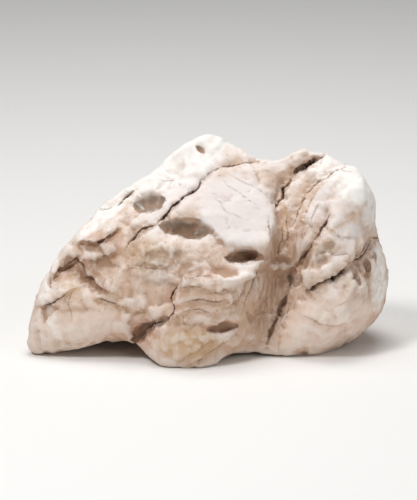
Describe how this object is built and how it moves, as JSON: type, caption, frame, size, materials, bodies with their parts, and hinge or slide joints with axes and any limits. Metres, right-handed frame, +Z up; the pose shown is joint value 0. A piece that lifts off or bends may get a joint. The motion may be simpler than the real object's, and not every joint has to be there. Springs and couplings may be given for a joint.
{
  "type": "aquascape rock",
  "caption": "One loose piece of pale folded limestone, a pointed wedge and a round lobe with a deep fold between them, for laying in a planted tank.",
  "frame": {"origin": "on the resting plane, under the middle of the stone's box", "axes": "+X along the length, from the pointed tip to the round lobe; -Y is the front; +Z up"},
  "size_m": [0.1473, 0.0794, 0.0854],
  "materials": {
    "stone": "weathered, matte, cream-white with brown cracks"
  },
  "bodies": {
    "root": {"stone": "stone"}
  },
  "joints": []
}
